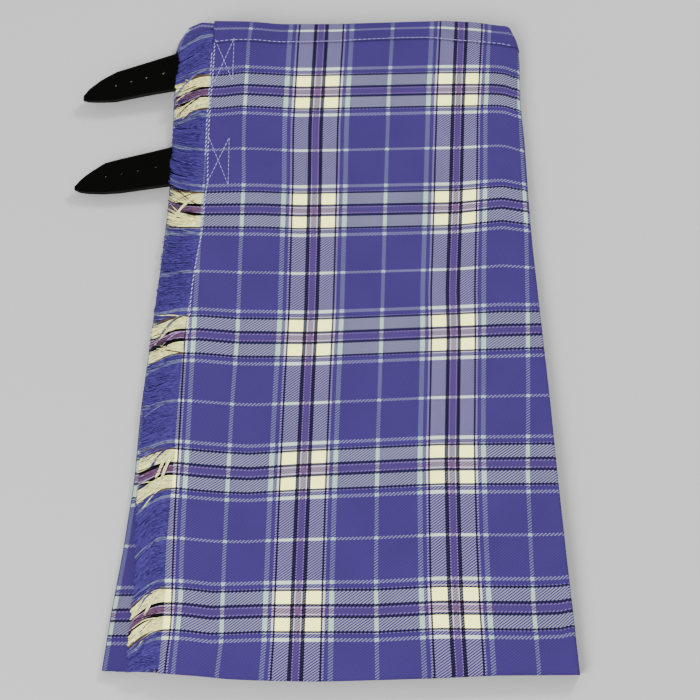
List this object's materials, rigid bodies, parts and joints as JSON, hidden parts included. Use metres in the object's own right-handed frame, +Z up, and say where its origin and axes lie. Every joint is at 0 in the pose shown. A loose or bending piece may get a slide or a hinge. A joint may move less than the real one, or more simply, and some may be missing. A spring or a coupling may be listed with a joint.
{
  "type": "kilt laid flat",
  "caption": "Knife-pleated check kilt lying flat on its pleats, front apron up, with a fringed apron edge, a folded waistband and unfastened black leather straps.",
  "frame": {"origin": "middle of the footprint, on the surface that the garment lies on", "axes": "+Y from hem to waist, +X across the garment towards the side away from the fringe, +Z up out of the front apron"},
  "size_m": [0.4241, 0.6151, 0.0237],
  "materials": {
    "front_check": "2/2 twill check in blue-violet, cream, black and violet with pale blue lines, soft matt",
    "under_check": "2/2 twill check in blue-violet, cream, black and violet, soft matt",
    "pleat_check": "2/2 twill check in blue-violet, cream, black and violet, pressed knife pleats",
    "band_check": "2/2 twill check, folded strip, white topstitching",
    "fringe_yarn": "loose drawn weft yarns in the colours of the check",
    "black_leather": "black grained leather, semi-matt, cut edges"
  },
  "bodies": {
    "root": {"front_apron": "front_check", "under_apron": "under_check", "pleated_back": "pleat_check", "waistband_front": "band_check", "waistband_under": "band_check", "waistband_back": "band_check", "fringe": "fringe_yarn", "strap_upper": "black_leather", "strap_lower": "black_leather"}
  },
  "joints": []
}
